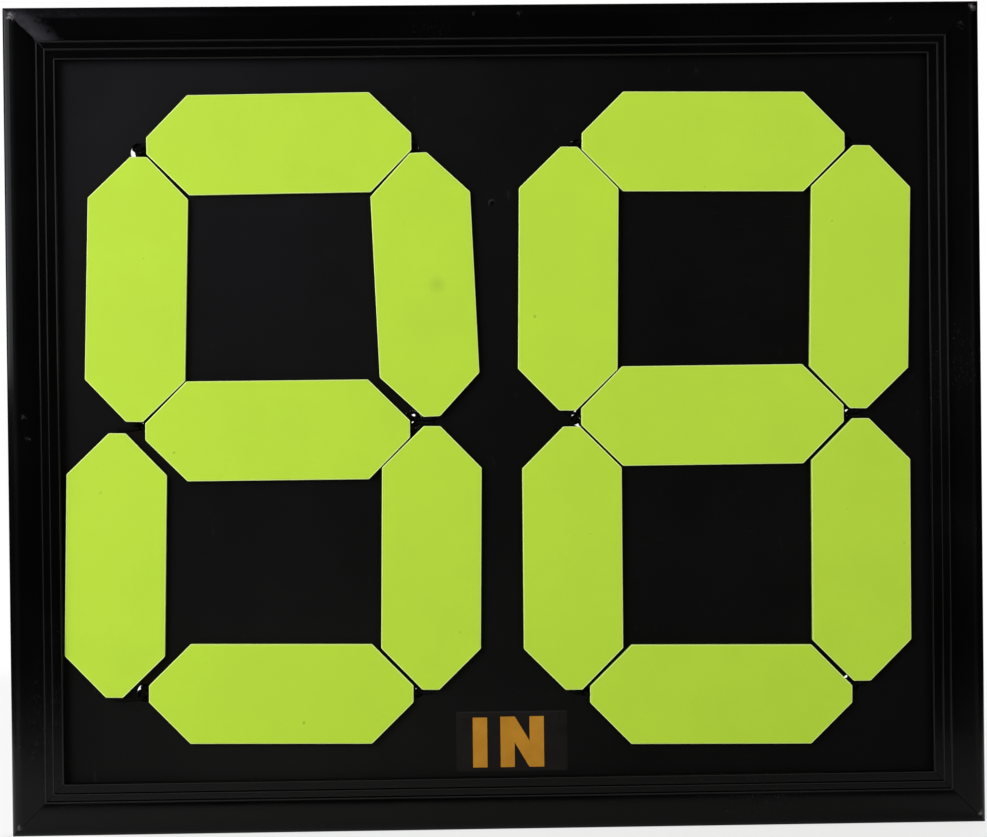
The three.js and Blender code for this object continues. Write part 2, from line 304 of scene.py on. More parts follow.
def distance(tree, place, point):
    inputs = {0: place, 1: point}
    return add_node(tree, "ShaderNodeVectorMath", inputs, operation="DISTANCE").outputs["Value"]


def near(tree, place, point, radius):
    """1 at a point and 0 beyond the radius."""
    return graded(tree, distance(tree, place, point), radius, 0)


def marked(tree, place, marks):
    """How strong the strongest of some marks is at a place."""
    values = [product(tree, near(tree, place, *spot), strength) for *spot, strength in marks]
    return strongest(tree, values)


def bump(tree, surface, height, depth, strength):
    inputs = {"Height": height, "Distance": depth, "Strength": strength}
    connect(tree, surface, {"Normal": add_node(tree, "ShaderNodeBump", inputs).outputs["Normal"]})


# Materials

# Bare chips at the corners and scuffs on the rails: a place, a radius and a strength
CHIPS = [
    ((-0.3195, -0.0100, 0.5440), 0.0095, 0.7),
    ((0.3205, -0.0095, 0.5450), 0.0085, 0.7),
    ((0.3205, -0.0095, 0.0060), 0.0075, 0.7),
    ((-0.3200, -0.0100, 0.0060), 0.0068, 0.7),
]
SCUFFS = [
    ((-0.0130, -0.0115, 0.5440), 0.0050, 0.3),
    ((0.0175, -0.0118, 0.5440), 0.0055, 0.3),
    ((0.2650, -0.0118, 0.5370), 0.0060, 0.3),
    ((-0.3140, -0.0118, 0.2790), 0.0060, 0.3),
    ((-0.3110, -0.0118, 0.2640), 0.0055, 0.3),
    ((0.3130, -0.0115, 0.5340), 0.0070, 0.3),
]

BLACK_LACQUER = (0.0009, 0.0009, 0.0011)
# Paler lacquer on the ridges' crests: a painted highlight
CREST_HIGHLIGHT_LACQUER = (0.013, 0.013, 0.014)
BEVEL_LACQUER = (0.0019, 0.0018, 0.0019)
# The colour of the painted reflection by the top left mitre
PAINTED_REFLECTION_LACQUER = (0.025, 0.024, 0.034)
DUST_GREY = (0.03, 0.03, 0.031)
SCUFF_GREY = (0.06, 0.06, 0.06)
CHIP_GREY = (0.20, 0.19, 0.185)

# The painted reflection beside the top left mitre and the painted highlight strip along the
# rail's edge: where each fades in or out. A mitre and an end are measured along the rail,
# a foot down it
PATCH_MITRE = (0.2 * MM, 0.8 * MM)
PATCH_END = (19 * MM, 7 * MM)
PATCH_FOOT = (23 * MM, 21.5 * MM)
PATCH_FRAY = 6 * MM
STRIP_END = (160 * MM, 20 * MM)
STRIP_FOOT = (8 * MM, 5 * MM)
STRIP_STRENGTH = 0.3


def top_left_painted_reflection(tree, place):
    """A painted reflection by the top rail's left mitre and a painted highlight along its edge."""
    along = total(tree, axis_of(tree, place, "X"), BOARD_WIDTH / 2)
    down = difference(tree, BOARD_HEIGHT, axis_of(tree, place, "Z"))
    from_mitre = difference(tree, along, down)
    mottle = noise(tree, place, scale=260, detail=5, roughness=0.75)
    edge = total(tree, from_mitre, spread(tree, mottle, -PATCH_FRAY, PATCH_FRAY))
    patch = product(
        tree,
        graded(tree, from_mitre, *PATCH_MITRE),
        graded(tree, edge, *PATCH_END),
    )
    patch = product(tree, patch, graded(tree, down, *PATCH_FOOT))
    strip = product(
        tree,
        graded(tree, down, *STRIP_FOOT),
        graded(tree, along, *STRIP_END, 0, STRIP_STRENGTH),
    )
    cloud = graded(tree, mottle, 0.35, 0.65, 0.35, 1)
    return product(tree, strongest(tree, [patch, strip]), cloud)


def on_bevel(tree, place):
    """1 on the frame's outer bevel, which is duller than the rest, and 0 inside it."""
    across = maths(tree, "ABSOLUTE", axis_of(tree, place, "X"))
    up = difference(tree, axis_of(tree, place, "Z"), BOARD_HEIGHT / 2)
    levels = []
    for away, size in ((across, BOARD_WIDTH), (maths(tree, "ABSOLUTE", up), BOARD_HEIGHT)):
        inner = size / 2 - BEVEL_WIDTH
        levels.append(graded(tree, away, inner, inner + BEVEL_WIDTH * 0.2))
    return strongest(tree, levels)


def lacquer(name, black):
    """Gloss black on the moulding, with scuffs, dust and bare chips at the mitres."""
    material, tree, surface = new_material(name)
    place = object_place(tree)
    flecks = noise(tree, place, scale=900, detail=2)
    patches = noise(tree, place, scale=9, detail=4)
    dust = product(
        tree,
        graded(tree, flecks, 0.66, 0.74),
        graded(tree, patches, 0.52, 0.68),
    )
    broken = noise(tree, place, scale=620, detail=5, roughness=0.75)
    worn = graded(tree, total(tree, marked(tree, place, CHIPS), broken), 0.98, 1.12)
    scuffs = total(tree, marked(tree, place, SCUFFS), broken)
    # A painted reflection and a painted highlight strip by the top left mitre
    painted_light = top_left_painted_reflection(tree, place)
    colour = mixed(tree, on_bevel(tree, place), black, BEVEL_LACQUER)
    colour = mixed(tree, product(tree, dust, 0.5), colour, DUST_GREY)
    colour = mixed(tree, painted_light, colour, PAINTED_REFLECTION_LACQUER)
    colour = mixed(tree, graded(tree, scuffs, 0.74, 0.95, 0, 0.6), colour, SCUFF_GREY)
    dull = product(tree, strongest(tree, [dust, worn, painted_light]), 0.4)
    look = {
        "Base Color": mixed(tree, worn, colour, CHIP_GREY),
        "Roughness": total(tree, spread(tree, patches, 0.12, 0.22), dull),
        "Specular IOR Level": 0.23,
    }
    connect(tree, surface, look)
    waves = noise(tree, place, scale=45, detail=2)
    height = difference(tree, waves, product(tree, worn, 1.6))
    bump(tree, surface, height, depth=0.2 * MM, strength=0.5)
    return material


# Painted light on the panel, paler round the upper left and low in the middle: a place, a
# radius and a colour
PAINTED_LIGHT_PATCHES = [
    ((-0.24, PANEL_FRONT, 0.48), 0.32, (0.0082, 0.0077, 0.0100)),
    ((-0.13, PANEL_FRONT, 0.02), 0.23, (0.0072, 0.0070, 0.0069)),
]

# Traces of red beside two holes: a place, a radius and a strength
RED_TRACES = [
    ((-0.2348, PANEL_FRONT, 0.1012), 0.0055, 1.0),
    ((-0.2402, PANEL_FRONT, 0.2680), 0.0050, 0.5),
]

# One round mark between the digits, dark inside with painted shade, with a painted highlight
# ring at its upper left, and a smudge
DENT_PLACE = (-0.0014, PANEL_FRONT, 0.4179)
RING_HIGHLIGHT_SIDE = (-0.0032, PANEL_FRONT, 0.4200)
DENT_FADE = (2.0 * MM, 1.4 * MM)
RING_RADIUS = 2.2 * MM
RING_WIDTH = 0.9 * MM
RING_REACH = 4.2 * MM
SMUDGE_PLACE = (0.0095, PANEL_FRONT, 0.1907)
SMUDGE_REACH = 1.6 * MM

PANEL_BLACK = (0.0011, 0.0011, 0.0011)
PANEL_PALE = (0.0020, 0.0020, 0.0020)
DENT_SHADE_BLACK = (0.0003, 0.0003, 0.0003)
TRACE_RED = (0.0100, 0.0008, 0.0003)
SCRATCH_AND_HIGHLIGHT_GREY = (0.022, 0.022, 0.023)


def round_mark(tree, place):
    """A dent in the panel and the painted highlight ring round it, each from 0 to 1."""
    away = distance(tree, place, DENT_PLACE)
    dent = graded(tree, away, *DENT_FADE)
    off_ring = maths(tree, "ABSOLUTE", difference(tree, away, RING_RADIUS))
    ring = graded(tree, off_ring, RING_WIDTH, 0)
    ring = product(tree, ring, near(tree, place, RING_HIGHLIGHT_SIDE, RING_REACH))
    return dent, graded(tree, ring, 0, 0.6)


def panel_paint():
    """Matt black board with painted light patches, fine scratches and one round mark."""
    material, tree, surface = new_material("panel_paint")
    place = object_place(tree)
    mottle = noise(tree, place, scale=14, detail=5, roughness=0.6)
    grain = noise(tree, place, scale=700, detail=2)
    leaning = stretched(tree, place, (1, 1, 30), (0, 0.6, 0))
    scratches = noise(tree, leaning, scale=60, detail=2)
    rubs = noise(tree, stretched(tree, place, (1, 1, 0.4)), scale=160, detail=4, roughness=0.7)
    faint = [
        graded(tree, scratches, 0.70, 0.76),
        graded(tree, rubs, 0.66, 0.8),
        near(tree, stretched(tree, place, (1, 1, 0.45)), SMUDGE_PLACE, SMUDGE_REACH),
    ]
    dent, ring = round_mark(tree, place)
    # The ring is a painted highlight, mixed in with the scratches
    marks = strongest(tree, [product(tree, strongest(tree, faint), 0.35), ring])
    colour = mixed(tree, spread(tree, mottle), PANEL_BLACK, PANEL_PALE)
    cloud = graded(tree, mottle, 0.25, 0.75, 0.6, 1)
    # Painted light: paler patches where the panel is lit more
    for point, radius, tint in PAINTED_LIGHT_PATCHES:
        painted_light = product(tree, near(tree, place, point, radius), cloud)
        colour = mixed(tree, painted_light, colour, tint)
    # Painted shade darkens the inside of the dent
    colour = mixed(tree, dent, colour, DENT_SHADE_BLACK)
    red = graded(tree, marked(tree, place, RED_TRACES), 0.05, 0.5)
    red = product(tree, red, graded(tree, mottle, 0.3, 0.5, 0.6, 1))
    colour = mixed(tree, red, colour, TRACE_RED)
    look = {
        "Base Color": mixed(tree, marks, colour, SCRATCH_AND_HIGHLIGHT_GREY),
        "Roughness": spread(tree, mottle, 0.5, 0.66),
        "Specular IOR Level": 0.08,
    }
    connect(tree, surface, look)
    height = difference(tree, total(tree, grain, marks), product(tree, dent, 8))
    bump(tree, surface, height, depth=0.06 * MM, strength=0.6)
    return material


BEAD_BLACK = (0.004, 0.004, 0.0043)
BEAD_PALE = (0.011, 0.011, 0.012)


def bead_paint():
    """Brushed black on the beads behind the panel."""
    material, tree, surface = new_material("bead_paint")
    place = object_place(tree)
    strokes = noise(tree, stretched(tree, place, (1, 8, 1)), scale=120, detail=3)
    look = {
        "Base Color": mixed(tree, graded(tree, strokes, 0.35, 0.7), BEAD_BLACK, BEAD_PALE),
        "Roughness": spread(tree, strokes, 0.32, 0.48),
        "Specular IOR Level": 0.35,
    }
    connect(tree, surface, look)
    bump(tree, surface, strokes, depth=0.12 * MM, strength=0.5)
    return material


# Specks on the front plates, and one thumb mark: a place, a radius and a strength
GREEN_SPECKS = [
    ((0.026, -0.008, 0.342), 0.0014, 1.0),
    ((-0.131, -0.008, 0.073), 0.0014, 1.0),
    ((-0.215, -0.008, 0.254), 0.0012, 0.9),
    ((-0.264, -0.008, 0.228), 0.0012, 0.6),
    ((-0.026, -0.008, 0.132), 0.0012, 0.5),
    ((-0.039, -0.008, 0.364), 0.0070, 0.38),
]

GREEN = (0.485, 0.725, 0.036)
# The rim colours are painted highlights on the plates' eased edges
GREEN_EDGE_HIGHLIGHT = (0.78, 0.92, 0.36)
RED = (0.62, 0.014, 0.022)
RED_EDGE_HIGHLIGHT = (0.80, 0.12, 0.11)
EDGE_HIGHLIGHT_SHARE = 0.8
SPECK_GREEN = (0.06, 0.09, 0.02)
REVERSE_BLACK = (0.0020, 0.0020, 0.0021)
REVERSE_PALE = (0.0036, 0.0036, 0.0038)

# How deep the black paint of a plate's reverse reaches, and how soft its edge is
REVERSE_DEPTH = 0.5 * MM
REVERSE_BLUR = 0.1 * MM


def shaded(colour, share):
    return tuple(part * share for part in colour)


def plate_paint(name, face, rim, side, facing, specks=()):
    """A plate of one colour with its reverse painted black, down to a depth.

    It lies on the front with side -1 or on the rear with side 1, and its coloured face
    looks to the front with facing -1 or to the rear with facing 1.
    """
    material, tree, surface = new_material(name)
    place = object_place(tree)
    film = PANEL_MIDDLE + side * PLATE_RISE - facing * (PLATE_THICKNESS / 2 - REVERSE_DEPTH)
    blur = facing * REVERSE_BLUR
    on_face = graded(tree, axis_of(tree, place, "Y"), film - blur, film + blur)
    mottle = noise(tree, place, scale=22, detail=3)
    fine = noise(tree, place, scale=650, detail=2)
    marks = graded(tree, noise(tree, place, scale=190, detail=2, roughness=0.4), 0.80, 0.83)
    if specks:
        marks = strongest(tree, [marks, marked(tree, place, specks)])
    flecks = product(tree, graded(tree, fine, 0.6, 0.75), 0.18)
    tint = mixed(tree, spread(tree, mottle), face, shaded(face, 0.955))
    tint = mixed(tree, flecks, tint, shaded(face, 0.80))
    tint = mixed(tree, product(tree, marks, 0.55), tint, SPECK_GREEN)
    # Painted highlight: a paler colour on the eased edges
    if rim:
        tint = mixed(tree, EDGE_HIGHLIGHT_SHARE, tint, rim)
    reverse = mixed(tree, spread(tree, mottle), REVERSE_BLACK, REVERSE_PALE)
    look = {
        "Base Color": mixed(tree, on_face, reverse, tint),
        "Roughness": spread(tree, mottle, 0.42, 0.52),
        "Specular IOR Level": graded(tree, on_face, 0, 1, 0.12, 0.3),
    }
    connect(tree, surface, look)
    bump(tree, surface, total(tree, fine, product(tree, mottle, 4)), depth=0.05 * MM, strength=0.5)
    return material


BRAID_STRANDS = 6
BRAID_PITCH = 2.2 * MM
BRAID_BLACK = (0.0010, 0.0010, 0.0010)
BRAID_PALE = (0.0045, 0.0045, 0.0048)
FUZZ_GREY = (0.02, 0.02, 0.02)


def braid():
    """Black elastic with a diamond braid that follows the cord."""
    material, tree, surface = new_material("braided_elastic")
    course = add_node(tree, "ShaderNodeTexCoord").outputs["UV"]
    round_cord = product(tree, axis_of(tree, course, "X"), BRAID_STRANDS * 2 * math.pi)
    along = product(tree, axis_of(tree, course, "Y"), 2 * math.pi / BRAID_PITCH)
    left = maths(tree, "SINE", total(tree, round_cord, along))
    right = maths(tree, "SINE", difference(tree, round_cord, along))
    strands = strongest(tree, [left, right])
    fuzz = noise(tree, object_place(tree), scale=2500, detail=2)
    colour = mixed(tree, graded(tree, strands, -0.2, 1), BRAID_BLACK, BRAID_PALE)
    look = {
        "Base Color": mixed(tree, graded(tree, fuzz, 0.62, 0.8, 0, 0.3), colour, FUZZ_GREY),
        "Roughness": 0.8,
        "Specular IOR Level": 0.08,
    }
    connect(tree, surface, look)
    bump(tree, surface, total(tree, strands, fuzz), depth=0.1 * MM, strength=0.9)
    return material


STEEL_GREY = (0.50, 0.50, 0.51)
RUST_BROWN = (0.16, 0.08, 0.04)


def bright_steel():
    """Drawn steel with a little rust."""
    material, tree, surface = new_material("bright_steel")
    place = object_place(tree)
    drawn = noise(tree, stretched(tree, place, (1, 0.1, 1)), scale=900, detail=3)
    rust = graded(tree, noise(tree, place, scale=300, detail=4, roughness=0.7), 0.56, 0.72)
    rough = spread(tree, drawn, 0.25, 0.42)
    look = {
        "Base Color": mixed(tree, product(tree, rust, 0.6), STEEL_GREY, RUST_BROWN),
        "Metallic": 1,
        "Roughness": total(tree, rough, product(tree, rust, 0.25)),
    }
    connect(tree, surface, look)
    bump(tree, surface, total(tree, drawn, rust), depth=0.03 * MM, strength=0.6)
    return material


FILM_BLACK = (0.0037, 0.0029, 0.0027)
FILM_BROWN = (0.0080, 0.0056, 0.0049)
FILM_STREAK = (0.018, 0.015, 0.013)
FILM_EDGE_WEAR_AND_HIGHLIGHT = (0.0105, 0.0095, 0.0095)
FILM_EDGE_FADE = (77 * MM, 77.3 * MM)
FILM_EDGE_FRAY = 0.2 * MM


def sticker_film():
    """Brown-black film rubbed paler in streaks, its top edge worn and with a painted highlight."""
    material, tree, surface = new_material("sticker_film")
    place = object_place(tree)
    rub = noise(tree, place, scale=70, detail=5, roughness=0.65)
    streaks = noise(tree, stretched(tree, place, (0.15, 1, 3)), scale=160, detail=3)
    colour = mixed(tree, graded(tree, rub, 0.35, 0.7), FILM_BLACK, FILM_BROWN)
    colour = mixed(tree, graded(tree, streaks, 0.62, 0.74, 0, 0.4), colour, FILM_STREAK)
    fray = spread(tree, rub, -FILM_EDGE_FRAY, FILM_EDGE_FRAY)
    up = total(tree, axis_of(tree, place, "Z"), fray)
    # The top edge: partly wear, partly a painted highlight
    edge = graded(tree, up, *FILM_EDGE_FADE)
    look = {
        "Base Color": mixed(tree, edge, colour, FILM_EDGE_WEAR_AND_HIGHLIGHT),
        "Roughness": spread(tree, rub, 0.38, 0.55),
        "Specular IOR Level": 0.16,
    }
    connect(tree, surface, look)
    bump(tree, surface, rub, depth=0.15 * MM, strength=0.5)
    return material


INK_GOLD = (0.42, 0.178, 0.010)
INK_PALE = (0.49, 0.226, 0.019)
INK_PIT = (0.12, 0.06, 0.015)


def gold_ink():
    """Printed gold, cloudy and slightly pitted."""
    material, tree, surface = new_material("gold_ink")
    place = object_place(tree)
    cloud = noise(tree, place, scale=90, detail=4)
    pits = graded(tree, noise(tree, place, scale=800, detail=3, roughness=0.7), 0.66, 0.76)
    colour = mixed(tree, spread(tree, cloud), INK_GOLD, INK_PALE)
    look = {
        "Base Color": mixed(tree, product(tree, pits, 0.6), colour, INK_PIT),
        "Roughness": 0.45,
        "Specular IOR Level": 0.15,
    }
    connect(tree, surface, look)
    bump(tree, surface, pits, depth=0.04 * MM, strength=0.6)
    return material


materials = {
    "lacquer": lacquer("black_lacquer", BLACK_LACQUER),
    # The second lacquer paints a highlight on the ridges' crests
    "crest_highlight_lacquer": lacquer("crest_highlight_lacquer", CREST_HIGHLIGHT_LACQUER),
    "panel": panel_paint(),
    "bead": bead_paint(),
    # Each plate's second material carries the painted highlight on its eased edges
    "green": plate_paint("green_plate", GREEN, None, -1, -1, GREEN_SPECKS),
    "green_edge_highlight": plate_paint("green_plate_edge_highlight", GREEN, GREEN_EDGE_HIGHLIGHT, -1, -1),
    "red": plate_paint("red_plate", RED, None, 1, 1),
    "red_edge_highlight": plate_paint("red_plate_edge_highlight", RED, RED_EDGE_HIGHLIGHT, 1, 1),
    "red_turned": plate_paint("red_plate_turned", RED, None, 1, -1),
    "red_turned_edge_highlight": plate_paint("red_plate_turned_edge_highlight", RED, RED_EDGE_HIGHLIGHT, 1, -1),
    "cord": braid(),
    "steel": bright_steel(),
    "film": sticker_film(),
    "ink": gold_ink(),
}


# Making pieces


def piece_from(bm, name, looks, smooth_angle=35):
    """A finished mesh as an object at the origin, with its materials."""
    bmesh.ops.recalc_face_normals(bm, faces=bm.faces)
    mesh = bpy.data.meshes.new(name)
    bm.to_mesh(mesh)
    bm.free()
    piece = bpy.data.objects.new(name, mesh)
    bpy.context.scene.collection.objects.link(piece)
    for look in looks:
        mesh.materials.append(materials[look])
    mesh.shade_smooth()
    mesh.set_sharp_from_angle(angle=math.radians(smooth_angle))
    return piece


def ease_edges(piece, width, segments, angle):
    """Rounds the edges of a piece that turn by more than an angle in degrees."""
    ease = piece.modifiers.new("eased_edges", "BEVEL")
    ease.width = width
    ease.segments = segments
    ease.limit_method = "ANGLE"
    ease.angle_limit = math.radians(angle)
    ease.harden_normals = True
    return ease


def dress(node, looks, width):
    """New materials on a CAD node, with its loose triangles welded and its edges eased.

    The last material goes on the eased edges.
    """
    piece = frame["nodes"][node]
    piece.data.materials.clear()
    for look in looks:
        piece.data.materials.append(materials[look])
    weld = piece.modifiers.new("weld", "WELD")
    weld.merge_threshold = WELD_REACH
    ease = ease_edges(piece, width, segments=3, angle=38)
    ease.material = len(looks) - 1


# Moulding


def draw_out(bm, outline, way):
    """A flat outline drawn out by a vector into a solid."""
    section = bm.faces.new([bm.verts.new(place) for place in outline])
    drawn = bmesh.ops.extrude_face_region(bm, geom=[section])
    ends = [part for part in drawn["geom"] if isinstance(part, bmesh.types.BMVert)]
    bmesh.ops.translate(bm, verts=ends, vec=way)


def curve_to(points, control, end, steps):
    """Adds a curve that bends towards a control point."""
    start = points[-1]
    for i in range(1, steps + 1):
        t = i / steps
        points.append(
            tuple(
                (1 - t) ** 2 * a + 2 * t * (1 - t) * b + t * t * c
                for a, b, c in zip(start, control, end)
            )
        )


def rail_profile():
    """The moulding's outline, and how far in each of its ridges starts."""
    points = [(0, RAIL_DEPTH), (0, BEVEL_DEPTH)]
    curve_to(points, (BEVEL_WIDTH * BEVEL_SHARE, 0), (BEVEL_WIDTH, 0), BEVEL_STEPS)
    scoop_end = BEVEL_WIDTH + SCOOP_WIDTH
    control = (BEVEL_WIDTH + SCOOP_WIDTH * SCOOP_SHARE, 0)
    curve_to(points, control, (scoop_end, SCOOP_DROP), SCOOP_STEPS)
    starts = (scoop_end, scoop_end + RIDGE_STEP, RAIL_WIDTH - RIDGE_WIDTH)
    for i, start in enumerate(starts):
        before = SCOOP_DROP + i * RIDGE_DROP
        if i:
            points.append((start, before))
        crest = (start + RIDGE_WIDTH / 2, before - 2 * RIDGE_RISE)
        curve_to(points, crest, (start + RIDGE_WIDTH, before + RIDGE_DROP), RIDGE_STEPS)
    points += [(RAIL_WIDTH, LIP_DEPTH), (REBATE_EDGE, LIP_DEPTH)]
    points.append((REBATE_EDGE, RAIL_DEPTH))
    return points, starts


def paint_crest_highlights(bm, starts):
    """Marks the faces on the ridges' crests for the lacquer with the painted highlight."""
    for face in bm.faces:
        inward = face.calc_center_median().z
        level = face.normal.y < -0.5
        past = (inward - start - CREST_HIGHLIGHT_PLACE * RIDGE_WIDTH for start in starts)
        if level and any(abs(way) < CREST_HIGHLIGHT_REACH for way in past):
            face.material_index = 1


def rail(name, length, reach, turn):
    """One side of the frame: the profile drawn out, and cut to its mitres."""
    bm = bmesh.new()
    half = length / 2
    profile, starts = rail_profile()
    outline = [(-half, depth - RAIL_DEPTH / 2, inward) for inward, depth in profile]
    draw_out(bm, outline, (length, 0, 0))
    for side in (-1, 1):
        corner = (side * (half - MITRE_GAP), 0, 0)
        everything = bm.verts[:] + bm.edges[:] + bm.faces[:]
        cut = bmesh.ops.bisect_plane(
            bm, geom=everything, plane_co=corner, plane_no=(side, 0, 1), clear_outer=True
        )
        edges = [part for part in cut["geom_cut"] if isinstance(part, bmesh.types.BMEdge)]
        bmesh.ops.contextual_create(bm, geom=edges)
    bmesh.ops.recalc_face_normals(bm, faces=bm.faces)
    paint_crest_highlights(bm, starts)
    bmesh.ops.translate(bm, verts=bm.verts, vec=(0, 0, -reach))
    bmesh.ops.rotate(bm, verts=bm.verts, matrix=Matrix.Rotation(turn, 3, "Y"))
    bmesh.ops.translate(bm, verts=bm.verts, vec=(0, 0, BOARD_HEIGHT / 2))
    piece = piece_from(bm, "moulding_" + name, ["lacquer", "crest_highlight_lacquer"], 30)
    ease_edges(piece, RAIL_EASE, segments=2, angle=48)
    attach(piece, "board")
    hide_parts("frame_rail_" + name)


for name, turn in (("bottom", 0), ("left", 0.5), ("top", 1), ("right", -0.5)):
    level = name in ("bottom", "top")
    length = BOARD_WIDTH if level else BOARD_HEIGHT
    reach = (BOARD_HEIGHT if level else BOARD_WIDTH) / 2
    rail(name, length, reach, turn * math.pi)


# Panel, beads, nails and pins

dress("board_panel", ["panel"], PANEL_EASE)
for name in ("bottom", "left", "top", "right"):
    dress("rear_bead_" + name, ["bead"], BEAD_EASE)
for corner in ("bottom_left", "top_left", "top_right", "bottom_right"):
    dress("corner_nail_" + corner, ["steel"], NAIL_EASE)


def bead_pins():
    """The small pins through the beads, their heads just proud of the quarter round."""
    bm = bmesh.new()
    inset = REBATE_EDGE + PIN_INSET
    across, up = BOARD_WIDTH / 2 - inset, BOARD_HEIGHT / 2 - inset
    places = []
    for i in range(-2, 3):
        places += [(i * PIN_STEP_ACROSS, -up), (i * PIN_STEP_ACROSS, up)]
        places += [(-across, i * PIN_STEP_UP), (across, i * PIN_STEP_UP)]
    for x, z in places:
        sphere = bmesh.ops.create_uvsphere(
            bm, u_segments=16, v_segments=8, radius=PIN_HEAD_RADIUS
        )
        head = sphere["verts"]
        bmesh.ops.scale(bm, verts=head, vec=(1, PIN_HEAD_FLATNESS, 1))
        place = (x, PANEL_BACK + BEAD_CREST, BOARD_HEIGHT / 2 + z)
        bmesh.ops.translate(bm, verts=head, vec=place)
    piece = piece_from(bm, "bead_pins", ["steel"], 60)
    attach(piece, "board")


bead_pins()


# Plates

for name in CORD_SHARES:
    dress(name + "_plate", ["green", "green_edge_highlight"], PLATE_EASE)
    looks = ["red_turned", "red_turned_edge_highlight"] if name in TURNED else ["red", "red_edge_highlight"]
    dress("rear_" + name + "_plate", looks, PLATE_EASE)


# Elastic cord

joints = {joint["name"]: joint for joint in frame["joints"]}


def frames_along(points):
    """A turned frame at each point, carried along the course without twist."""
    frames = []
    normal = None
    for i, point in enumerate(points):
        before, after = points[max(i - 1, 0)], points[min(i + 1, len(points) - 1)]
        ahead = (after - before).normalized()
        if normal is None:
            normal = ahead.orthogonal()
        normal = (normal - ahead * normal.dot(ahead)).normalized()
        side = ahead.cross(normal)
        turned = Matrix((normal, side, ahead)).transposed().to_4x4()
        frames.append(Matrix.Translation(point) @ turned)
    return frames


def add_tube(whole, points):
    """A round cord drawn out along a course, its pattern laid along its length."""
    bm = bmesh.new()
    pattern = bm.loops.layers.uv.verify()
    frames = frames_along(points)
    circle = bmesh.ops.create_circle(
        bm, segments=CORD_SIDES, radius=CORD_RADIUS, matrix=frames[0]
    )
    ring = circle["verts"]
    place = {vert: (k, 0.0) for k, vert in enumerate(ring)}
    edges = {edge for vert in ring for edge in vert.link_edges}
    ring_edges = list(edges)
    run = 0.0
    for i in range(1, len(points)):
        run += (points[i] - points[i - 1]).length
        drawn = bmesh.ops.extrude_edge_only(bm, edges=list(edges))["geom"]
        verts = [part for part in drawn if isinstance(part, bmesh.types.BMVert)]
        edges = {part for part in drawn if isinstance(part, bmesh.types.BMEdge)}
        edges = {edge for edge in edges if all(vert in verts for vert in edge.verts)}
        faces = [part for part in drawn if isinstance(part, bmesh.types.BMFace)]
        for vert in verts:
            old = next(
                other
                for edge in vert.link_edges
                for other in (edge.other_vert(vert),)
                if other in place and other not in verts
            )
            place[vert] = (place[old][0], run)
        bmesh.ops.transform(bm, verts=verts, matrix=frames[i] @ frames[i - 1].inverted())
        for face in faces:
            columns = [place[loop.vert][0] for loop in face.loops]
            wraps = 0 in columns and CORD_SIDES - 1 in columns
            for loop in face.loops:
                column, far = place[loop.vert]
                column = CORD_SIDES if wraps and column == 0 else column
                loop[pattern].uv = (column / CORD_SIDES, far)
    bmesh.ops.contextual_create(bm, geom=[edge for edge in ring_edges if edge.is_valid])
    bmesh.ops.contextual_create(bm, geom=list(edges))
    part = bpy.data.meshes.new("cord_part")
    bm.to_mesh(part)
    bm.free()
    whole.from_mesh(part)
    bpy.data.meshes.remove(part)


def rounded(points, times=3):
    """The course with its corners cut, again and again, into a smooth curve."""
    for _ in range(times):
        eased = [points[0]]
        for a, b in zip(points, points[1:]):
            eased += [a.lerp(b, 0.25), a.lerp(b, 0.75)]
        points = [*eased, points[-1]]
    return points


def spaced(points, step):
    """The same course with points at an even step."""
    result, carried = [points[0]], 0.0
    for a, b in zip(points, points[1:]):
        length = (b - a).length
        while carried + length >= step:
            share = (step - carried) / length
            a = a.lerp(b, share)
            length = (b - a).length
            carried = 0.0
            result.append(a.copy())
        carried += length
    if (result[-1] - points[-1]).length > step * 0.3:
        result.append(points[-1])
    return result


def hole_middle(hole):
    """How far across and up the middle of a hole is."""
    side, column, row = hole
    digit = -DIGIT_OFFSET if side == "left" else DIGIT_OFFSET
    return digit + column * HOLE_STEP / 2, DIGIT_MIDDLE + row * HOLE_STEP / 2


class End:
    """One end of a plate: its tip, the way out of its bore, and its hole."""

    def __init__(self, name, end):
        side, cell = name.split("_", 1)
        swing = joints[name + "_swing"]
        axis = Vector(swing["axis"])
        centre = Vector(swing["pos_m"])
        self.name = name
        self.sign = end
        self.outward = axis * end
        self.tip = centre + self.outward * PLATE_LENGTH / 2
        column, row = PLATE_CELLS[cell]
        if cell in ("top", "middle", "bottom"):
            column = end
        else:
            row += end
        self.hole = (side, column, row)
        x, z = hole_middle(self.hole)
        across, up = CORD_SHARES[name][0 if end < 0 else 1]
        self.through = Vector((x + across * HOLE_RADIUS, 0, z + up * HOLE_RADIUS))

    def descent(self, outward_y):
        """From the bore over the rim and into the hole, on the front or the rear."""
        start = self.tip + self.outward * BORE_EXIT
        start.y = 0
        turn = min(TURN_LENGTH, CLEARANCE + BEND_SHARE * (start - self.through).length)
        bend = start + self.outward * turn
        lean = min(LEAN_LENGTH, BEND_SHARE * (bend - self.through).length)
        over = self.through + (bend - self.through).normalized() * lean
        surface = PANEL_BACK - PANEL_MIDDLE
        course = []
        for point, rise in (
            (start, PLATE_RISE),
            (bend, PLATE_RISE - CLEARANCE),
            (over, surface + OVER_HEIGHT),
            (self.through, surface - UNDER_DEPTH),
        ):
            course.append(Vector((point.x, PANEL_MIDDLE + outward_y * rise, point.z)))
        return course


ends = [End(name, end) for name in CORD_SHARES for end in (-1, 1)]
for end in ends:
    others = [other.through for other in ends if other.hole == end.hole]
    middle = sum(others, Vector()) / len(others)
    aside = (end.through - middle).normalized() * BUNDLE_SHARE * CORD_RADIUS
    end.bundled = middle + aside + Vector((0, PANEL_MIDDLE, 0))


